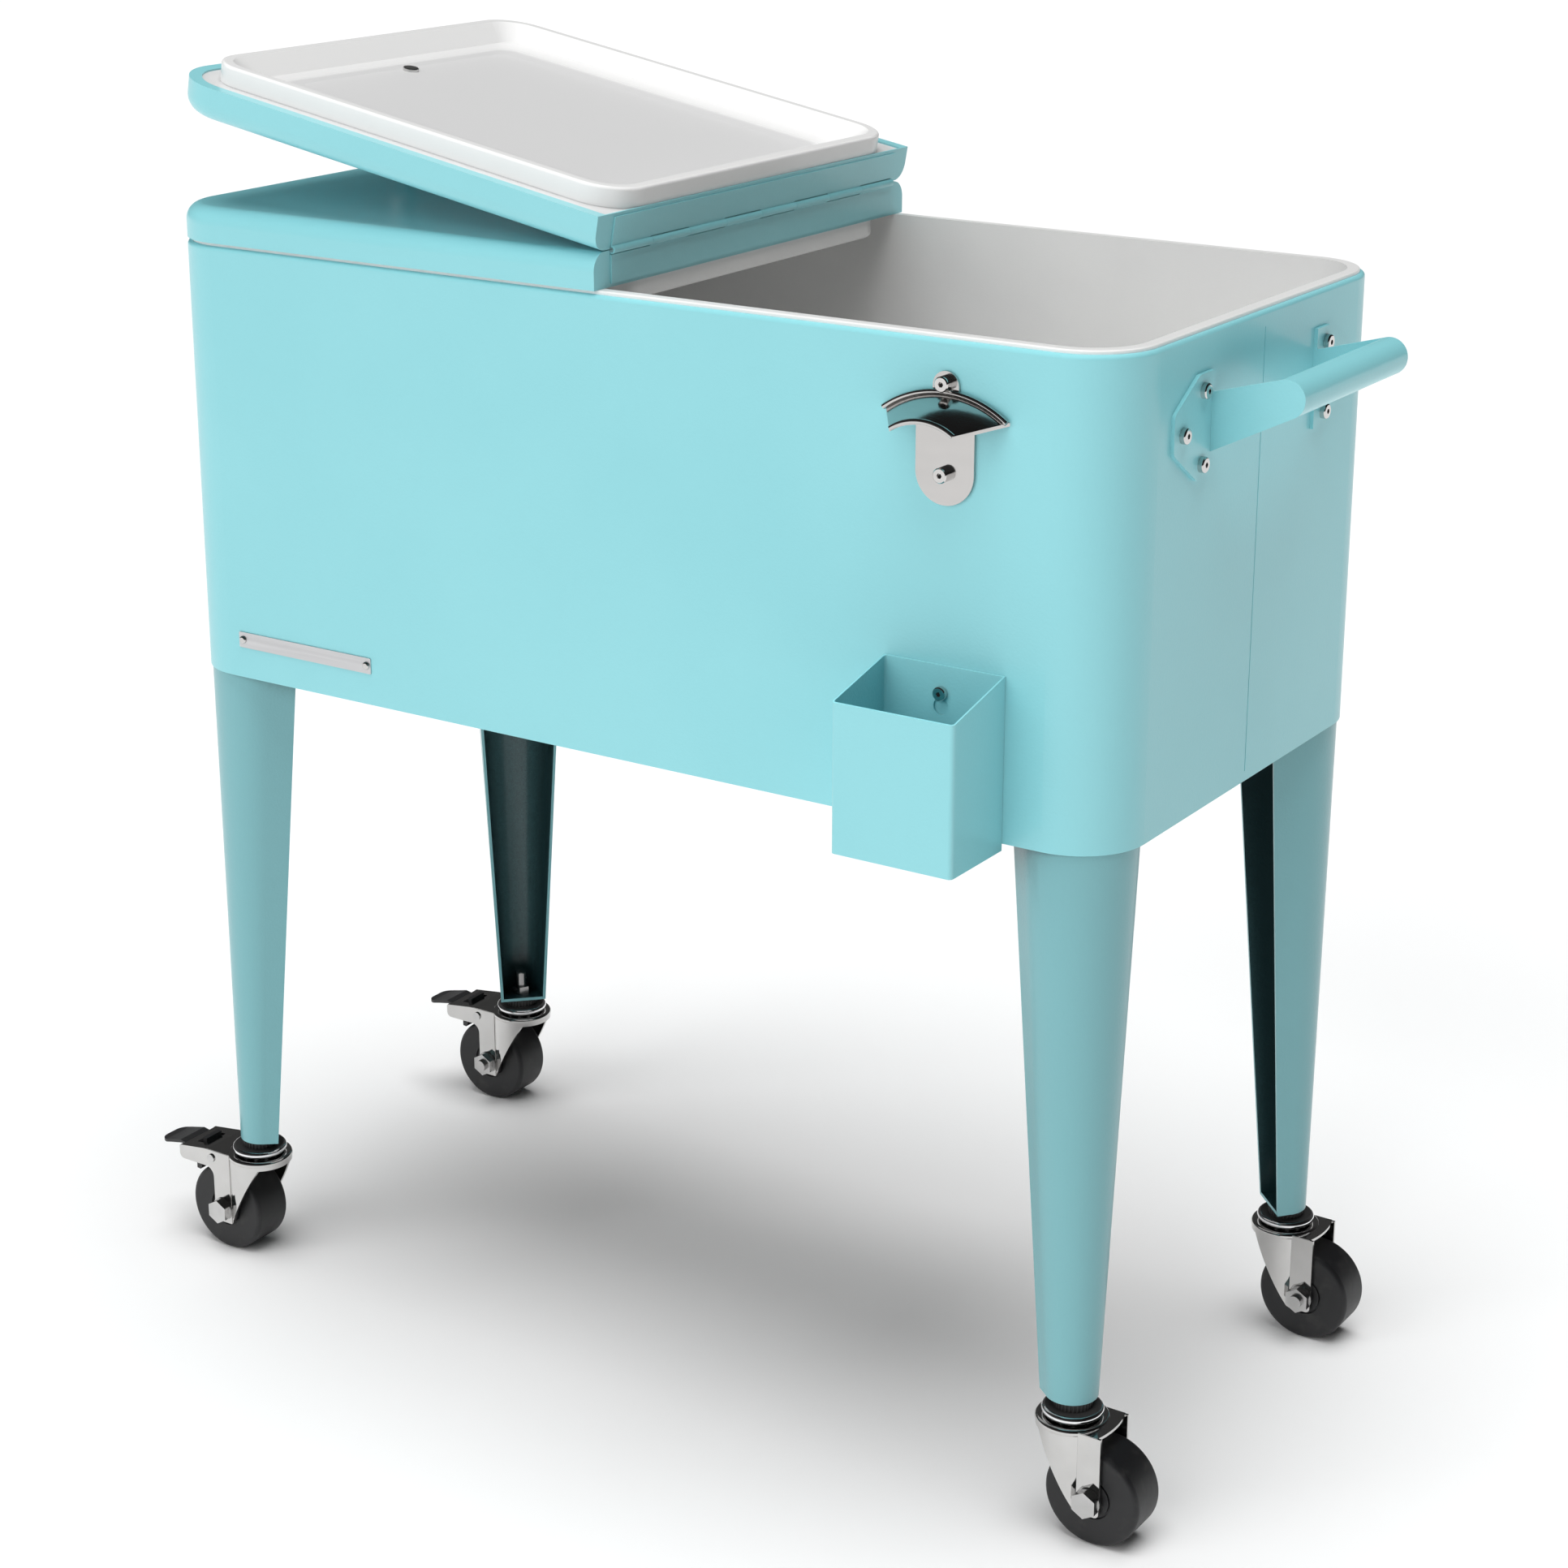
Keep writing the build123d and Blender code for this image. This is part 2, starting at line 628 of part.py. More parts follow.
with BuildPart() as handle_screws:
    with BuildSketch(facing_right(body_length / 2 + arm_sheet)):
        with Locations(*handle_points):
            Circle(5.2)
    extrude(amount=4)
    fillet(handle_screws.faces().sort_by(Axis.X)[-6:].edges(), 1.2)
    with BuildSketch(facing_right(body_length / 2 + arm_sheet)):
        with Locations(*handle_points):
            Circle(screw_shank)
    extrude(amount=-10.5)
    with BuildSketch(facing_right(body_length / 2 + arm_sheet + 4)):
        with Locations(*handle_points):
            RegularPolygon(1.9, 6)
    extrude(amount=-2.4, mode=Mode.SUBTRACT)
handle_screws.part.label = "handle_screws"
export_step(handle_screws.part, "parts/handle_screws.step")

# ---- Front fittings ----


def hood_band(y, half, end_z, crown_z):
    """A thin arched band, the hood's section at one distance from the wall."""
    with BuildSketch(facing_front(y)) as band:
        with BuildLine():
            ThreePointArc((opener_x - half, end_z), (opener_x, crown_z), (opener_x + half, end_z))
            Line((opener_x + half, end_z), (opener_x + half, end_z - opener_sheet))
            ThreePointArc(
                (opener_x + half, end_z - opener_sheet),
                (opener_x, crown_z - opener_sheet),
                (opener_x - half, end_z - opener_sheet),
            )
            Line((opener_x - half, end_z - opener_sheet), (opener_x - half, end_z))
        make_face()
    return band.sketch


wall = -body_width / 2
with BuildPart() as bottle_opener:
    with BuildSketch(facing_front(wall)):
        with Locations((opener_x, 726.4)):
            Circle(21)
        with Locations((opener_x, 745.7)):
            Rectangle(42, 38.6)
        with Locations((opener_x, 772)):
            Rectangle(18.6, 18.4)
        with Locations((opener_x, 781.2)):
            Circle(9.3)
        with Locations((opener_x, opener_high_screw), (opener_x, opener_low_screw)):
            Circle(screw_hole, mode=Mode.SUBTRACT)
    extrude(amount=opener_sheet)
    loft(
        sections=[hood_band(wall, 44.4, 763.1, 777.5), hood_band(wall - hood_reach, 22.2, 757.6, 764.4)],
        ruled=True,
    )
bottle_opener.part.label = "bottle_opener"
export_step(bottle_opener.part, "parts/bottle_opener.step")

with BuildPart() as opener_screws:
    with BuildSketch(facing_front(wall - opener_sheet)):
        with Locations((opener_x, opener_high_screw), (opener_x, opener_low_screw)):
            Circle(5)
    extrude(amount=6.5)
    chamfer(opener_screws.faces().sort_by(Axis.Y)[:2].edges(), 0.7)
    with BuildSketch(facing_front(wall - opener_sheet)):
        with Locations((opener_x, opener_high_screw), (opener_x, opener_low_screw)):
            Circle(screw_shank)
    extrude(amount=-10.5)
    with BuildSketch(facing_front(wall - opener_sheet - 6.5)):
        with Locations((opener_x, opener_high_screw), (opener_x, opener_low_screw)):
            RegularPolygon(1.9, 6)
    extrude(amount=-3, mode=Mode.SUBTRACT)
opener_screws.part.label = "opener_screws"
export_step(opener_screws.part, "parts/opener_screws.step")

catcher_back = wall - catcher_gap
with BuildPart() as cap_catcher:
    with BuildSketch(facing_right(catcher_low_x)):
        Polygon(
            (catcher_back, catcher_bottom), (-catcher_front, catcher_bottom),
            (-catcher_front, catcher_front_top), (catcher_back, catcher_back_top),
            align=None,
        )
    extrude(amount=catcher_high_x - catcher_low_x)
    fillet(cap_catcher.edges().filter_by(Axis.Z).group_by(Axis.Y)[0], 3)
    with BuildSketch(level(catcher_bottom + catcher_sheet)):
        with Locations(
            ((catcher_low_x + catcher_high_x) / 2, (catcher_back - catcher_front) / 2)
        ):
            RectangleRounded(
                catcher_high_x - catcher_low_x - 2 * catcher_sheet,
                catcher_front + catcher_back - 2 * catcher_sheet,
                1.8,
            )
    extrude(amount=200, mode=Mode.SUBTRACT)
    with BuildSketch(facing_front(wall)):
        with Locations((catcher_screw_x, catcher_screw_z - catcher_lift)):
            Circle(5.6)
        with Locations((catcher_screw_x, catcher_screw_z - catcher_lift / 2)):
            Rectangle(2 * (screw_shank + 0.1), catcher_lift)
        with Locations((catcher_screw_x, catcher_screw_z)):
            Circle(screw_shank + 0.1)
    extrude(amount=catcher_gap + catcher_sheet + 1, mode=Mode.SUBTRACT)
cap_catcher.part.label = "cap_catcher"
export_step(cap_catcher.part, "parts/cap_catcher.step")

with BuildPart() as catcher_screw:
    with BuildSketch(facing_front(catcher_back - catcher_sheet - 0.4)):
        with Locations((catcher_screw_x, catcher_screw_z)):
            Circle(4.8)
    extrude(amount=3.4)
    fillet(catcher_screw.faces().sort_by(Axis.Y)[0].edges(), 1.2)
    with BuildSketch(facing_front(catcher_back - catcher_sheet - 0.4)):
        with Locations((catcher_screw_x, catcher_screw_z)):
            Circle(screw_shank)
    extrude(amount=-10)
    with BuildSketch(facing_front(catcher_back - catcher_sheet - 3.8)):
        with Locations((catcher_screw_x, catcher_screw_z)):
            RegularPolygon(1.8, 6)
    extrude(amount=-2, mode=Mode.SUBTRACT)
catcher_screw.part.label = "catcher_screw"
export_step(catcher_screw.part, "parts/catcher_screw.step")

with BuildPart() as nameplate:
    with BuildSketch(facing_front(wall)):
        with Locations((plate_x, plate_z)):
            RectangleRounded(plate_length, plate_height, 1)
        with Locations((plate_rivets[0], plate_z), (plate_rivets[1], plate_z)):
            Circle(screw_hole, mode=Mode.SUBTRACT)
    extrude(amount=0.8)
nameplate.part.label = "nameplate"
export_step(nameplate.part, "parts/nameplate.step")

with BuildPart() as nameplate_rivets:
    with BuildSketch(facing_front(wall - 0.8)):
        with Locations((plate_rivets[0], plate_z), (plate_rivets[1], plate_z)):
            Circle(3)
    extrude(amount=1.6)
    fillet(nameplate_rivets.faces().sort_by(Axis.Y)[:2].edges(), 1.3)
    with BuildSketch(facing_front(wall - 0.8)):
        with Locations((plate_rivets[0], plate_z), (plate_rivets[1], plate_z)):
            Circle(screw_shank)
    extrude(amount=-6)
nameplate_rivets.part.label = "nameplate_rivets"
export_step(nameplate_rivets.part, "parts/nameplate_rivets.step")

# ---- Lids ----

turn = radians(lid_open_angle)
pin_line = (cart_x, cart_y, hinge_z)
lids = {
    "left": Plane(origin=pin_line, x_dir=(-1, 0, 0), z_dir=(0, 0, 1)),
    "right": Plane(origin=pin_line, x_dir=(-cos(turn), 0, sin(turn)), z_dir=(-sin(turn), 0, -cos(turn))),
}


def lid_block(lid, inset, near, low, high, rounding):
    """A lid's outline brought in by an inset, with its three outer top edges rounded."""
    far = body_length / 2 - inset
    with BuildPart() as block:
        with BuildSketch(lid.offset(low)) as outline:
            with Locations(((near + far) / 2, 0)):
                Rectangle(far - near, body_width - 2 * inset)
            fillet(outline.vertices().group_by(Axis.X)[-1], body_corner - inset)
        extrude(amount=high - low)
        rim = block.faces().sort_by(Axis(lid.origin, lid.z_dir))[-1].edges()
        fillet(rim.sort_by(Axis(lid.origin, lid.x_dir))[1:], rounding)
    return block.part


def ring_outline(lid, w, inset_u, inset_v, corner):
    """The liner ring's outline at one depth, brought in by insets."""
    near, far = ring_hinge + min(inset_u, inset_v), ring_free - inset_u
    with BuildSketch(lid.offset(w)) as outline:
        with Locations(((near + far) / 2, 0)):
            RectangleRounded(far - near, 2 * (ring_half - inset_v), corner)
    return outline.sketch


dome_rise = (knob_dome ** 2 - knob_radius ** 2) ** 0.5
dome_edge = degrees(atan2(dome_rise, knob_radius))
pitch = 2 * hinge_half / knuckle_count
for place, lid in lids.items():
    across = Axis(lid.origin, lid.y_dir)
    edgewise = Plane(origin=lid.origin, x_dir=lid.x_dir, z_dir=-lid.y_dir)

    with BuildPart() as skin:
        add(lid_block(lid, 0, lid_end, lid_skirt, lid_top, lid_round))
        add(
            lid_block(
                lid, lid_sheet, lid_end + lid_sheet, lid_skirt + lid_sheet, lid_top - lid_sheet,
                lid_round - lid_sheet,
            ),
            mode=Mode.SUBTRACT,
        )
        with BuildSketch(lid.offset(lid_skirt)) as mouth:
            far = body_length / 2 - lid_hem
            with Locations(((lid_end + lid_sheet + far) / 2, 0)):
                Rectangle(far - lid_end - lid_sheet, body_width - 2 * lid_hem)
            fillet(mouth.vertices().group_by(Axis.X)[-1], body_corner - lid_hem)
        extrude(amount=lid_sheet, mode=Mode.SUBTRACT)
        with BuildSketch(edgewise):
            Circle(notch_radius)
        extrude(amount=hinge_half + 0.4, both=True, mode=Mode.SUBTRACT)
        with BuildSketch(lid.offset(lid_top)):
            with Locations((knob_u, 0)):
                Circle(knob_screw + 0.1)
        extrude(amount=-2 * lid_sheet, mode=Mode.SUBTRACT)
    skin.part.label = f"lid_{place}_skin"
    export_step(skin.part, f"parts/lid_{place}_skin.step")

    with BuildPart() as liner:
        with BuildSketch(lid.offset(liner_back)) as tray:
            far = body_length / 2 - lid_sheet - 0.2
            with Locations(((ring_hinge + far) / 2, 0)):
                Rectangle(far - ring_hinge, body_width - 2 * lid_sheet - 0.4)
            fillet(tray.vertices().group_by(Axis.X)[-1], body_corner - lid_sheet - 0.2)
        extrude(amount=lid_skirt + lid_sheet - liner_back)
        ring_depth = ring_low - lid_skirt - lid_sheet
        extrude(ring_outline(lid, lid_skirt + lid_sheet, 0, 0, ring_corner), amount=ring_depth)
        fillet(liner.faces().sort_by(Axis(lid.origin, lid.z_dir))[0].edges(), 2.2)
        loft(
            sections=[
                ring_outline(lid, ring_low, ring_lip, ring_lip, ring_corner - ring_lip),
                ring_outline(lid, foot_level, foot_inset, foot_inset, 14),
            ],
            ruled=True,
            mode=Mode.SUBTRACT,
        )
        loft(
            sections=[
                ring_outline(lid, foot_level, foot_inset, foot_inset, 14),
                ring_outline(lid, panel_level, panel_inset_u, panel_inset_v, 12),
            ],
            ruled=True,
            mode=Mode.SUBTRACT,
        )
        with BuildSketch(lid.offset(liner_back)):
            with Locations((knob_u, 0)):
                Circle(knob_screw + 0.1)
        extrude(amount=-6, mode=Mode.SUBTRACT)
    liner.part.label = f"lid_{place}_liner"
    export_step(liner.part, f"parts/lid_{place}_liner.step")

    with BuildPart() as foam:
        add(
            lid_block(
                lid, lid_sheet + 0.3, notch_radius + 1, liner_back + 0.1, lid_top - lid_sheet - 0.1,
                lid_round - lid_sheet,
            )
        )
        with BuildSketch(lid.offset(liner_back)):
            with Locations((knob_u, 0)):
                Circle(knob_screw + 0.3)
        extrude(amount=25, mode=Mode.SUBTRACT)
    foam.part.label = f"lid_{place}_foam"
    export_step(foam.part, f"parts/lid_{place}_foam.step")

    with BuildPart() as knob:
        with BuildSketch(edgewise):
            with BuildLine():
                Polyline(
                    (knob_u, lid_top), (knob_u + 9, lid_top), (knob_u + 9, lid_top + 1.5),
                    (knob_u + 6, lid_top + 4), (knob_u + 5.5, lid_top + 10), (knob_u + 12.5, lid_top + 17),
                    (knob_u + knob_radius, lid_top + knob_height - knob_dome + dome_rise),
                )
                CenterArc((knob_u, lid_top + knob_height - knob_dome), knob_dome, dome_edge, 90 - dome_edge)
                Line((knob_u, lid_top + knob_height), (knob_u, lid_top))
            make_face()
        revolve(axis=Axis(lid.from_local_coords((knob_u, 0, 0)), lid.z_dir))
        with BuildSketch(lid.offset(lid_top)):
            with Locations((knob_u, 0)):
                Circle(knob_screw + 0.05)
        extrude(amount=16, mode=Mode.SUBTRACT)
    knob.part.label = f"lid_{place}_knob"
    export_step(knob.part, f"parts/lid_{place}_knob.step")

    with BuildPart() as knob_bolt:
        with BuildSketch(lid.offset(panel_level)):
            with Locations((knob_u, 0)):
                Circle(knob_screw_head)
        extrude(amount=-2.4)
        fillet(knob_bolt.faces().sort_by(Axis(lid.origin, lid.z_dir))[0].edges(), 1)
        with BuildSketch(lid.offset(panel_level)):
            with Locations((knob_u, 0)):
                Circle(knob_screw)
        extrude(amount=lid_top + 14 - panel_level)
    knob_bolt.part.label = f"lid_{place}_screw"
    export_step(knob_bolt.part, f"parts/lid_{place}_screw.step")

    # The left lid's leaf carries the even knuckles from the front and the right lid's the odd ones.
    forward = 1 if place == "left" else -1
    mine = 1 if place == "left" else 0
    with BuildPart() as leaf:
        with BuildSketch(edgewise):
            with Locations(((leaf_near + leaf_far) / 2, (leaf_low - notch_radius) / 2)):
                Rectangle(leaf_far - leaf_near, -notch_radius - leaf_low)
        extrude(amount=hinge_half, both=True)
        for number in range(mine, knuckle_count, 2):
            middle = forward * (hinge_half - (number + 0.5) * pitch)
            with BuildSketch(edgewise.offset(-middle)):
                Circle(barrel_radius)
                with Locations(((leaf_near + leaf_far) / 2, -notch_radius / 2)):
                    Rectangle(leaf_far - leaf_near, notch_radius)
                Circle(hinge_bore, mode=Mode.SUBTRACT)
            extrude(amount=pitch / 2 - knuckle_gap / 2, both=True)
    leaf.part.label = f"hinge_leaf_{place}"
    export_step(leaf.part, f"parts/hinge_leaf_{place}.step")

with BuildPart() as hinge_pin:
    with BuildSketch(facing_front(0)):
        with Locations((0, hinge_z)):
            Circle(hinge_pin_radius)
    extrude(amount=hinge_half + 0.2, both=True)
hinge_pin.part.label = "hinge_pin"
export_step(hinge_pin.part, "parts/hinge_pin.step")
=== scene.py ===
import math

import bpy
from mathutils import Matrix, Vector


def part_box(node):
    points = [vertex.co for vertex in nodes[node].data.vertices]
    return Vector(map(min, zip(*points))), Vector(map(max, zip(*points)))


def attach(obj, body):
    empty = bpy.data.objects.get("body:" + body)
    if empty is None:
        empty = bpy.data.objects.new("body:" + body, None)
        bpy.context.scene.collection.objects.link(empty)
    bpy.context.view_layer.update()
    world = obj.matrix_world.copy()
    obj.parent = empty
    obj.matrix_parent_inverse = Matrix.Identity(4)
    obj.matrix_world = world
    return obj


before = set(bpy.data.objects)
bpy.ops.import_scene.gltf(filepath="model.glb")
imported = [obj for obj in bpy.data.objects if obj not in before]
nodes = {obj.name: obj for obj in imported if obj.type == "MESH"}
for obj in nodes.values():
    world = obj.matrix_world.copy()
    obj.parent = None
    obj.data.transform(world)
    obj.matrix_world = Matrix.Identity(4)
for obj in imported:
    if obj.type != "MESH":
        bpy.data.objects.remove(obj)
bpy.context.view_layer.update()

# ---- Enamelled steel: shell, legs, lid skins, handle ----
# Pressed mild steel sheet, powder coated in one pale aqua. The coat is smooth and half glossy, with the
# fine orange peel that baked powder leaves and a slightly thinner, darker film in broad soft patches.


class Wire:
    """A shader socket that takes part in Python arithmetic by adding Math nodes."""

    def __init__(self, finish, socket):
        self.finish, self.socket = finish, socket

    def math(self, operation, *values):
        return self.finish.node("ShaderNodeMath", {"operation": operation}, dict(enumerate(values)))

    def __add__(self, other):
        return self.math("ADD", self, other)

    def __mul__(self, other):
        return self.math("MULTIPLY", self, other)

    def __sub__(self, other):
        return self.math("SUBTRACT", self, other)

    def __rsub__(self, other):
        return self.math("SUBTRACT", other, self)

    __radd__ = __add__
    __rmul__ = __mul__

    def within(self, low, high):
        """0 below low, 1 above high, and a soft step between them."""
        settings = {"interpolation_type": "SMOOTHSTEP"}
        return self.finish.node("ShaderNodeMapRange", settings, {0: self, 1: low, 2: high, 3: 0.0, 4: 1.0})


class Finish:
    """A surface finish built on one Principled shader, whose plain values are given by socket name."""

    def __init__(self, name, **plain):
        self.material = bpy.data.materials.new(name)
        self.material.use_nodes = True
        self.tree = self.material.node_tree
        self.shader = self.tree.nodes["Principled BSDF"]
        for key, value in plain.items():
            self.shader.inputs[key.replace("_", " ").title().replace("Ior", "IOR")].default_value = value

    def node(self, kind, settings, sockets, output=0):
        made = self.tree.nodes.new(kind)
        for key, value in settings.items():
            setattr(made, key, value)
        for key, value in sockets.items():
            self.join(value, made.inputs[key])
        return Wire(self, made.outputs[output])

    def join(self, value, socket):
        if isinstance(value, Wire):
            self.tree.links.new(value.socket, socket)
        else:
            socket.default_value = value

    def feed(self, name, value):
        self.join(value, self.shader.inputs[name])

    def place(self, stretch=(1, 1, 1)):
        """Where a point lies on the cart in metres, optionally stretched for a directional pattern."""
        coords = self.node("ShaderNodeTexCoord", {}, {}, "Object")
        return self.node("ShaderNodeMapping", {}, {"Vector": coords, "Scale": stretch})

    def noise(self, scale, detail=2.0, stretch=(1, 1, 1)):
        return self.node("ShaderNodeTexNoise", {}, {"Vector": self.place(stretch), "Scale": scale, "Detail": detail})

    def blend(self, factor, first, second):
        settings = {"data_type": "RGBA"}
        return self.node("ShaderNodeMix", settings, {0: factor, 6: (*first, 1), 7: (*second, 1)}, 2)

    def relief(self, height, depth, strength=1.0):
        sockets = {"Height": height, "Distance": depth, "Strength": strength}
        self.feed("Normal", self.node("ShaderNodeBump", {}, sockets))

    def coat(self, *names):
        """Puts the finish on CAD nodes."""
        for name in names:
            paint(nodes[name], self.material)


def paint(piece, material):
    piece.data.materials.clear()
    piece.data.materials.append(material)


aqua = (0.275, 0.650, 0.700)
aqua_thin = (0.262, 0.632, 0.682)
enamel = Finish("aqua_enamel", coat_weight=0.3, coat_roughness=0.16, specular_ior_level=0.4)
film = enamel.noise(5.0, 3.0)
peel = enamel.noise(520.0, 1.0)
enamel.feed("Base Color", enamel.blend(film.within(0.35, 0.7), aqua, aqua_thin))
enamel.feed("Roughness", 0.32 + 0.10 * film)
enamel.relief(peel, 0.00012)
corners = ("front_left", "front_right", "back_left", "back_right")
enamel.coat("outer_shell", "handle_tube", "handle_front_arm", "handle_back_arm", "cap_catcher")
enamel.coat("lid_left_skin", "lid_right_skin", "hinge_leaf_left", "hinge_leaf_right")

# ---- Legs ----
# Tapered channels folded from the same sheet. The legs are painted a darker copy of the shell's aqua as painted
# shade, and the inside of each channel is painted near black as painted shade, fading in from the open edges.
channel = Finish("leg_enamel", coat_weight=0.3, coat_roughness=0.16, specular_ior_level=0.4)
# Ambient occlusion marks the hollows of each channel, where the colour turns to painted shade.
occlusion_shade_mask = channel.node("ShaderNodeAmbientOcclusion", {"samples": 8}, {"Distance": 0.16}, "AO")
drift = channel.noise(5.0, 3.0)
# Near black painted shade for the inside of the channels.
painted_channel_shade = (0.010, 0.030, 0.034)
# The legs' aqua is 0.66 of the shell's, a shaded copy of the same coat as painted shade.
shaded_leg_aqua = tuple(0.66 * part for part in aqua)
channel.feed("Base Color", channel.blend(occlusion_shade_mask.within(0.50, 0.78), painted_channel_shade, shaded_leg_aqua))
channel.feed("Roughness", 0.30 + 0.10 * drift)
channel.relief(channel.noise(520.0, 1.0), 0.00012)
channel.coat(*[f"leg_{corner}" for corner in corners])

# ---- Tub and lid liners ----
# Vacuum-formed white polystyrene, glossy where it took the mould and faintly stippled across the flats.
# The tub's rim lies on the shell, and each liner is clipped into its lid's hem.
moulded = Finish("white_plastic", coat_weight=0.2, coat_roughness=0.15)
tint = moulded.noise(7.0, 2.0)
moulded.feed("Base Color", moulded.blend(tint.within(0.3, 0.7), (0.84, 0.84, 0.83), (0.79, 0.79, 0.785)))
moulded.feed("Roughness", 0.28 + 0.12 * tint)
moulded.relief(moulded.noise(900.0, 1.0), 0.00006)
moulded.coat("tub_liner", "lid_left_liner")

# The open lid's liner is the same moulding. Its middle panel was stippled in the mould and is rougher than the
# polished ring around it, and it is painted grey as painted shade. The vacuum port has left a low round boss in the
# middle of the panel.
liner = Finish("panelled_plastic", coat_weight=0.2, coat_roughness=0.15)
tilt = math.radians(10.15)
pin_x, pin_z = 0.00205, 0.8368
across, along_y, up_z = (liner.node("ShaderNodeSeparateXYZ", {}, {0: liner.place()}, axis) for axis in range(3))
from_pin = math.cos(tilt) * (pin_x - across) + math.sin(tilt) * (up_z - pin_z)
below_top = math.sin(tilt) * (across - pin_x) + math.cos(tilt) * (up_z - pin_z)
panel_depth, panel_edge, boss_along, boss_y, boss_radius = 0.0240, 0.0007, 0.188, 0.03115, 0.0165
off_u, off_y = from_pin - boss_along, along_y - boss_y
from_boss = (off_u * off_u + off_y * off_y).math("SQRT")
boss = 1.0 - from_boss.within(boss_radius - 0.0012, boss_radius)
# Inside the panel the liner is painted grey as painted shade, and its roughness rises for the stipple.
panel_shade_and_stipple = 1.0 - below_top.within(panel_depth, panel_depth + panel_edge)
liner.feed("Base Color", liner.blend(panel_shade_and_stipple, (0.86, 0.86, 0.855), (0.66, 0.66, 0.66)))
liner.feed("Roughness", 0.26 + 0.22 * panel_shade_and_stipple)
liner.relief(boss + 0.03 * liner.noise(900.0, 1.0), 0.0014)
liner.coat("lid_right_liner")

# ---- Foam and drain ----
# Rigid urethane foam fills the walls and lids, with a cellular skin. The drain is a grey moulded fitting.
foam = Finish("rigid_foam", roughness=0.85)
cells = foam.node("ShaderNodeTexVoronoi", {}, {"Vector": foam.place(), "Scale": 700.0})
foam.feed("Base Color", foam.blend(cells, (0.80, 0.72, 0.48), (0.72, 0.63, 0.40)))
foam.relief(cells, 0.0004)
foam.coat("body_foam", "lid_left_foam", "lid_right_foam")

grey_moulding = Finish("grey_plastic")
scuff = grey_moulding.noise(60.0, 3.0)
grey_moulding.feed("Base Color", grey_moulding.blend(scuff, (0.50, 0.50, 0.49), (0.44, 0.44, 0.43)))
grey_moulding.feed("Roughness", 0.40 + 0.15 * scuff)
grey_moulding.relief(grey_moulding.noise(1200.0, 1.0), 0.00005)
grey_moulding.coat("drain_fitting", "drain_nut", "drain_cap")

# ---- Plated steel: pan, hinge pin, bolts, casters ----
# Bright zinc on pressed sheet and turned bolts, with a faint cloudiness from the bath.
zinc = Finish("zinc_plate", metallic=1.0)
cloud = zinc.noise(38.0, 4.0)
zinc.feed("Base Color", zinc.blend(cloud.within(0.35, 0.7), (0.62, 0.615, 0.61), (0.50, 0.495, 0.49)))
zinc.feed("Roughness", 0.16 + 0.16 * cloud)
zinc.relief(zinc.noise(800.0, 1.0), 0.00004)
zinc.coat("bottom_pan", "leg_screws", "hinge_pin", "caster_balls")

satin = Finish("satin_plate", metallic=1.0)
tumble = satin.noise(600.0, 2.0)
satin.feed("Base Color", satin.blend(tumble, (0.82, 0.82, 0.81), (0.72, 0.72, 0.71)))
satin.feed("Roughness", 0.42 + 0.12 * tumble)
satin.relief(tumble, 0.00003)
satin.coat("lid_left_screw", "lid_right_screw")

chrome = Finish("bright_plate", metallic=1.0)
haze = chrome.noise(55.0, 3.0)
chrome.feed("Base Color", chrome.blend(haze, (0.66, 0.65, 0.64), (0.56, 0.55, 0.54)))
chrome.feed("Roughness", 0.05 + 0.12 * haze)
chrome.relief(chrome.noise(240.0, 1.0), 0.00003)
chrome.coat("opener_screws", "handle_screws", "catcher_screw", "nameplate_rivets")
chrome.coat("lid_left_knob", "lid_right_knob")

# ---- Bottle opener ----
# One pressed steel sheet, screwed on above and below its hood and polished after pressing. Both long edges of
# the hood are rolled over into smooth beads, so that a cap's skirt catches on a round edge.
polished = Finish("polished_sheet", metallic=1.0)
rub = polished.noise(90.0, 3.0, (0.2, 1, 1))
polished.feed("Base Color", polished.blend(rub, (0.60, 0.585, 0.575), (0.52, 0.51, 0.50)))
polished.feed("Roughness", 0.09 + 0.10 * rub)
polished.relief(rub, 0.00003)
polished.coat("bottle_opener")

opener_low, opener_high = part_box("bottle_opener")
opener_middle = (opener_low[0] + opener_high[0]) / 2
beads = bpy.data.curves.new("opener_beads", "CURVE")
beads.dimensions, beads.bevel_depth, beads.bevel_resolution = "3D", 0.0019, 4
beads.use_fill_caps = True
wall_arc = (0.0440, opener_high[1] - 0.0034, 0.7632, 0.7776)
lip_arc = (0.0222, opener_low[1] + 0.0012, 0.7574, 0.7641)
for half_span, y, end_z, crown_z in (wall_arc, lip_arc):
    rise = crown_z - end_z
    radius = (half_span ** 2 + rise ** 2) / (2 * rise)
    line = beads.splines.new("POLY")
    steps = 32
    line.points.add(steps)
    for step, point in enumerate(line.points):
        x = half_span * (2 * step / steps - 1)
        z = crown_z - radius + math.sqrt(radius ** 2 - x ** 2)
        point.co = (opener_middle + x, y, z, 1)
rolled = bpy.data.objects.new("opener_beads_line", beads)
bpy.context.scene.collection.objects.link(rolled)
bead_mesh = bpy.data.meshes.new_from_object(rolled.evaluated_get(bpy.context.evaluated_depsgraph_get()))
bpy.data.objects.remove(rolled)
bead_mesh.shade_smooth()
opener_beads = bpy.data.objects.new("opener_beads", bead_mesh)
bpy.context.scene.collection.objects.link(opener_beads)
paint(opener_beads, polished.material)
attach(opener_beads, "cart")

# ---- Casters ----
# Zinc-plated swivel forks under a fixed ball race, black moulded wheels on hex bolts. The neck between race
# and leg is blackened steel. The two left forks carry a black foot brake with a moulded bar on it.
for corner in corners:
    zinc.coat(f"caster_{corner}_stem", f"caster_{corner}_axle")
    chrome.coat(f"caster_{corner}_fork")
zinc.coat("caster_front_left_brake_pin", "caster_back_left_brake_pin")

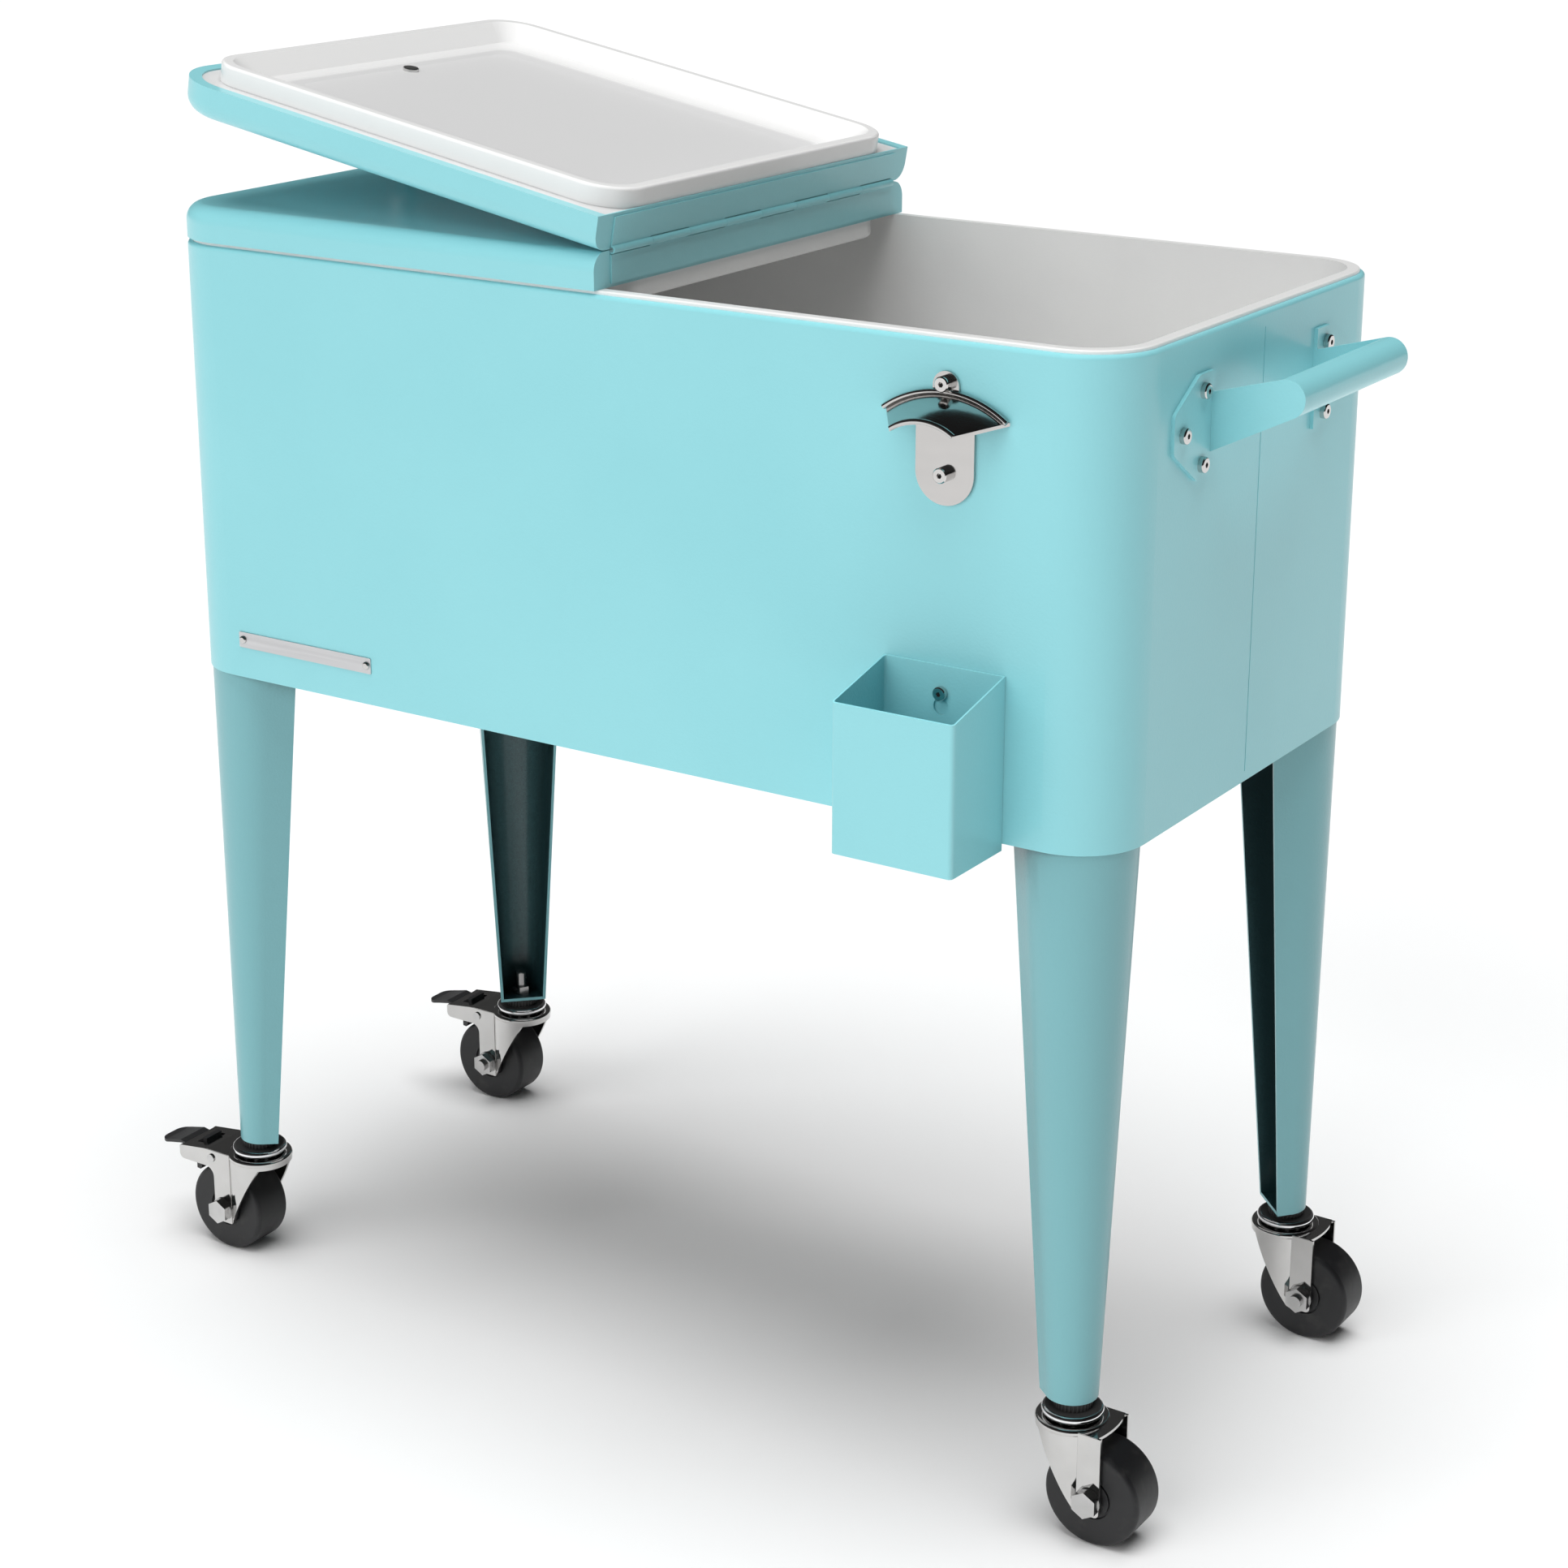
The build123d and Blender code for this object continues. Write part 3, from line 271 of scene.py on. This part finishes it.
race = Finish("race_and_neck")
height = race.node("ShaderNodeSeparateXYZ", {}, {0: race.place()}, 2)
bright = height.math("LESS_THAN", height, 0.0916)
race.feed("Base Color", race.blend(bright, (0.03, 0.03, 0.03), (0.80, 0.80, 0.81)))
race.feed("Metallic", bright)
race.feed("Roughness", 0.42 - 0.30 * bright)
race.relief(race.noise(700.0, 1.0), 0.00005)
race.coat(*[f"caster_{corner}_cap" for corner in corners])

# Fine ribs stand round each blackened neck, where a tool grips it while the king bolt is tightened.
neck_points = bpy.data.meshes.new("neck_points")
lows, highs = zip(*(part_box(f"caster_{corner}_cap") for corner in corners))
axes = [((low[0] + high[0]) / 2, (low[1] + high[1]) / 2) for low, high in zip(lows, highs)]
neck_foot, neck_top = 0.0917, 0.0976
neck_points.from_pydata([(x, y, (neck_foot + neck_top) / 2) for x, y in axes], [], [])
neck = bpy.data.objects.new("neck_points", neck_points)
scene = bpy.context.scene
scene.collection.objects.link(neck)


class Growth:
    """A Geometry Nodes tree with named inputs, whose result is taken off as a plain mesh."""

    def __init__(self, name):
        self.tree = bpy.data.node_groups.new(name, "GeometryNodeTree")
        self.tree.interface.new_socket("Geometry", in_out="OUTPUT", socket_type="NodeSocketGeometry")
        self.keys = {}
        self.want("Geometry", "NodeSocketGeometry")
        self.given = self.tree.nodes.new("NodeGroupInput")

    def want(self, name, kind):
        socket = self.tree.interface.new_socket(name, in_out="INPUT", socket_type=kind)
        self.keys[name] = socket.identifier

    def node(self, kind, settings, sockets, output=0):
        made = self.tree.nodes.new(kind)
        for key, value in settings.items():
            setattr(made, key, value)
        for key, value in sockets.items():
            if isinstance(value, bpy.types.NodeSocket):
                self.tree.links.new(value, made.inputs[key])
            elif isinstance(value, str):
                self.tree.links.new(self.given.outputs[value], made.inputs[key])
            else:
                made.inputs[key].default_value = value
        return made.outputs[output]

    def grow(self, carrier, name, values, material):
        """Runs the tree on a carrier object with the given values and returns the mesh as an object."""
        whole = self.node("GeometryNodeRealizeInstances", {}, {0: self.last})
        coated = self.node("GeometryNodeSetMaterial", {}, {"Geometry": whole, "Material": material})
        end = self.tree.nodes.new("NodeGroupOutput")
        self.tree.links.new(coated, end.inputs[0])
        modifier = carrier.modifiers.new(name, "NODES")
        modifier.node_group = self.tree
        for key, value in values.items():
            modifier[self.keys[key]] = value
        seen = carrier.evaluated_get(bpy.context.evaluated_depsgraph_get())
        mesh = bpy.data.meshes.new_from_object(seen)
        carrier.modifiers.remove(modifier)
        piece = bpy.data.objects.new(name, mesh)
        bpy.context.scene.collection.objects.link(piece)
        bpy.data.objects.remove(carrier)
        return piece


ribbing = Growth("neck_ribbing")
ribbing.want("Rib count", "NodeSocketInt")
ribbing.want("Neck radius", "NodeSocketFloat")
ribbing.want("Rib radius", "NodeSocketFloat")
ribbing.want("Rib length", "NodeSocketFloat")
ring = ribbing.node("GeometryNodeMeshCircle", {}, {"Vertices": "Rib count", "Radius": "Neck radius"})
rib_sockets = {"Vertices": 8, "Radius": "Rib radius", "Depth": "Rib length"}
rib = ribbing.node("GeometryNodeMeshCylinder", {}, rib_sockets)
collar = ribbing.node("GeometryNodeInstanceOnPoints", {}, {"Points": ring, "Instance": rib})
ribbing.last = ribbing.node("GeometryNodeInstanceOnPoints", {}, {"Points": "Geometry", "Instance": collar})
sizes = {"Rib count": 30, "Neck radius": 0.0126, "Rib radius": 0.0008, "Rib length": neck_top - neck_foot}
ribs = ribbing.grow(neck, "caster_neck_ribs", sizes, race.material)
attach(ribs, "cart")

tyre = Finish("black_tyre")
dust = tyre.noise(90.0, 5.0)
tyre.feed("Base Color", tyre.blend(dust.within(0.5, 0.85), (0.010, 0.010, 0.011), (0.030, 0.029, 0.028)))
tyre.feed("Roughness", 0.38 + 0.2 * dust)
tyre.relief(tyre.noise(1500.0, 2.0), 0.00008)
tyre.coat(*[f"caster_{corner}_wheel" for corner in corners])

black_moulding = Finish("black_plastic")
grain = black_moulding.noise(1400.0, 2.0)
black_moulding.feed("Base Color", black_moulding.blend(grain, (0.016, 0.016, 0.017), (0.030, 0.030, 0.031)))
black_moulding.feed("Roughness", 0.34 + 0.14 * grain)
black_moulding.relief(grain, 0.0001)
black_moulding.coat("caster_front_left_brake_pedal", "caster_back_left_brake_pedal")

# ---- Nameplate ----
# A thin stainless plate brushed along its length and left blank, held by two domed rivets.
brushed = Finish("brushed_plate", metallic=1.0)
streaks = brushed.noise(420.0, 4.0, (0.02, 1, 1))
brushed.feed("Base Color", brushed.blend(streaks, (0.70, 0.70, 0.71), (0.55, 0.55, 0.56)))
brushed.feed("Roughness", 0.24 + 0.2 * streaks)
brushed.relief(streaks, 0.00006)
brushed.coat("nameplate")

# ---- Studio ----
# A pale floor under a surround whose strength falls overhead and towards the handle end. Its colour is left at
# Blender's default dark grey, so the horizon is dim. Two very broad lights, one from above and one from the front
# left, do not show in the plating.
scene.view_settings.view_transform = "Standard"
scene.world = bpy.data.worlds.new("studio")
scene.world.use_nodes = True
surround = Finish.__new__(Finish)
surround.tree = scene.world.node_tree
direction = surround.node("ShaderNodeTexCoord", {}, {}, "Generated")
up = surround.node("ShaderNodeSeparateXYZ", {}, {0: direction}, 2)
along = surround.node("ShaderNodeSeparateXYZ", {}, {0: direction})
backdrop = surround.tree.nodes["Background"]
handle_end_shade = 1.0 - 0.65 * along.within(0.15, 0.65)
surround.join((1.15 - 0.85 * up.within(0.35, 0.85)) * handle_end_shade, backdrop.inputs["Strength"])

floor_mesh = bpy.data.meshes.new("floor")
half_floor = 30.0
floor_corners = [(x * half_floor, y * half_floor, 0) for x, y in ((-1, -1), (1, -1), (1, 1), (-1, 1))]
floor_mesh.from_pydata(floor_corners, [], [(0, 1, 2, 3)])
floor = bpy.data.objects.new("floor", floor_mesh)
scene.collection.objects.link(floor)
pale = Finish("pale_floor", roughness=0.8, specular_ior_level=0.2)
pale.feed("Base Color", pale.blend(pale.noise(3.0), (0.92, 0.92, 0.92), (0.90, 0.90, 0.90)))
paint(floor, pale.material)


def broad_light(name, towards, spread, strength):
    """A distant light as wide as spread degrees, shining along a direction and left out of reflections."""
    light = bpy.data.lights.new(name, "SUN")
    light.angle, light.energy = math.radians(spread), strength
    lamp = bpy.data.objects.new(name, light)
    lamp.rotation_euler = Vector(towards).to_track_quat("-Z", "Y").to_euler()
    lamp.visible_glossy = False
    scene.collection.objects.link(lamp)


broad_light("overhead", (-0.05, 0.05, -1.0), 52, 3.1)
broad_light("front_left", (0.25, 1.0, -0.45), 60, 1.65)

camera = bpy.data.objects.new("camera", bpy.data.cameras.new("camera"))
scene.collection.objects.link(camera)
camera.location = (1.24335, -1.83445, 1.1970)
camera.rotation_euler = (math.radians(72.25), 0, math.radians(33.44))
camera.data.lens = 73.33
camera.data.shift_x, camera.data.shift_y = 0.0083, -0.0548
scene.camera = camera
